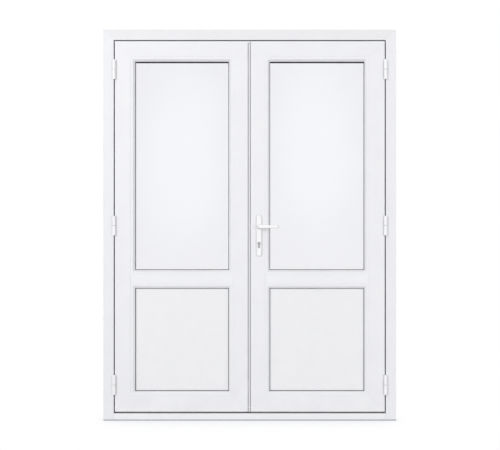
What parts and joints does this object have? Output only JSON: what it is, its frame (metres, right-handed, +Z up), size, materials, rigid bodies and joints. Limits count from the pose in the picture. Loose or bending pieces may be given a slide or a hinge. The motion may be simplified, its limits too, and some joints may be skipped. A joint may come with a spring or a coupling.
{
  "type": "upvc double door",
  "caption": "White hollow-profile double door set in its frame, part glazed over flat lower panels, with butt hinges, lever handles and a lock.",
  "frame": {"origin": "bottom centre of the whole door set: middle of the width, level with the underside of the jambs and threshold, and in the middle of the leaves' thickness", "axes": "+X to the right seen from the side the leaves open to, +Y away from that viewer, +Z up"},
  "size_m": [1.6, 0.162, 2.136],
  "materials": {
    "white_profile": "smooth white profile with a soft gloss",
    "white_panel": "smooth white flat panel",
    "white_hardware": "white powder coat, satin gloss",
    "gasket": "matt dark grey seal",
    "glass": "clear float glass",
    "spacer": "mill finish strip",
    "steel_channel": "zinc coated rolled steel",
    "screw_steel": "bright zinc plated",
    "lock_steel": "satin plated steel",
    "cylinder_nickel": "satin nickel plate",
    "packer": "plain moulded packer",
    "washer_nylon": "natural nylon"
  },
  "bodies": {
    "frame": {"frame_jamb_left": "white_profile", "frame_jamb_right": "white_profile", "frame_head": "white_profile", "frame_threshold": "white_profile", "frame_steels": "steel_channel", "frame_seal": "gasket", "flush_bolt_keeps": "lock_steel", "hinge_frame_halves": "white_hardware", "hinge_frame_screws": "screw_steel", "hinge_pins": "screw_steel", "hinge_washers": "washer_nylon"},
    "passive_leaf": {"passive_hinge_stile": "white_profile", "passive_meeting_stile": "white_profile", "passive_top_rail": "white_profile", "passive_bottom_rail": "white_profile", "passive_transom": "white_profile", "passive_steels": "steel_channel", "passive_pane_front": "glass", "passive_pane_back": "glass", "passive_pane_spacer": "spacer", "passive_lower_panel": "white_panel", "passive_beads": "white_profile", "passive_gaskets": "gasket", "passive_packers": "packer", "passive_hinge_halves": "white_hardware", "passive_hinge_screws": "screw_steel", "meeting_strip": "white_profile", "meeting_strip_cap": "white_profile", "lock_keep": "lock_steel", "flush_bolt_plates": "lock_steel"},
    "active_leaf": {"active_hinge_stile": "white_profile", "active_meeting_stile": "white_profile", "active_top_rail": "white_profile", "active_bottom_rail": "white_profile", "active_transom": "white_profile", "active_steels": "steel_channel", "active_pane_front": "glass", "active_pane_back": "glass", "active_pane_spacer": "spacer", "active_lower_panel": "white_panel", "active_beads": "white_profile", "active_gaskets": "gasket", "active_packers": "packer", "active_hinge_halves": "white_hardware", "active_hinge_screws": "screw_steel", "lock_face_plate": "lock_steel", "lock_case": "lock_steel", "lock_cylinder": "cylinder_nickel", "handle_plate_front": "white_hardware", "handle_plate_back": "white_hardware", "handle_plate_screws": "screw_steel"},
    "handle_set": {"lever_front": "white_hardware", "lever_back": "white_hardware", "handle_spindle": "screw_steel", "lock_follower": "lock_steel"},
    "latch": {"latch_bolt": "lock_steel"},
    "dead_bolt_block": {"dead_bolt": "lock_steel"},
    "cylinder_core": {"cylinder_plug": "cylinder_nickel"},
    "upper_bolt": {"flush_bolt_top": "lock_steel"},
    "lower_bolt": {"flush_bolt_bottom": "lock_steel"}
  },
  "joints": [
    {"name": "passive_leaf_swing", "type": "hinge", "parent": "frame", "child": "passive_leaf", "pos_m": [-0.7405, -0.04, 1.0654], "axis": [0, 0, -1], "range_deg": [0, 170]},
    {"name": "active_leaf_swing", "type": "hinge", "parent": "frame", "child": "active_leaf", "pos_m": [0.7405, -0.04, 1.0654], "axis": [0, 0, 1], "range_deg": [0, 170]},
    {"name": "handle_turn", "type": "hinge", "parent": "active_leaf", "child": "handle_set", "pos_m": [0.0505, 0, 1.0595], "axis": [0, 1, 0], "range_deg": [0, 45], "stiffness_Nm_per_rad": 0.8, "springref_deg": -28.65},
    {"name": "latch_slide", "type": "slide", "parent": "active_leaf", "child": "latch", "axis": [1, 0, 0], "range_m": [0, 0.0115]},
    {"name": "cylinder_turn", "type": "hinge", "parent": "active_leaf", "child": "cylinder_core", "pos_m": [0.0505, 0, 0.9675], "axis": [0, 1, 0], "range_deg": [0, 360]},
    {"name": "dead_bolt_slide", "type": "slide", "parent": "active_leaf", "child": "dead_bolt_block", "axis": [-1, 0, 0], "range_m": [0, 0.02]},
    {"name": "upper_bolt_slide", "type": "slide", "parent": "passive_leaf", "child": "upper_bolt", "axis": [0, 0, 1], "range_m": [0, 0.015]},
    {"name": "lower_bolt_slide", "type": "slide", "parent": "passive_leaf", "child": "lower_bolt", "axis": [0, 0, -1], "range_m": [0, 0.017]}
  ],
  "couplings": [
    {"joint": "latch_slide", "follows": "handle_turn", "m_per_rad": 0.01464},
    {"joint": "cylinder_turn", "follows": "dead_bolt_slide", "rad_per_m": 314}
  ]
}
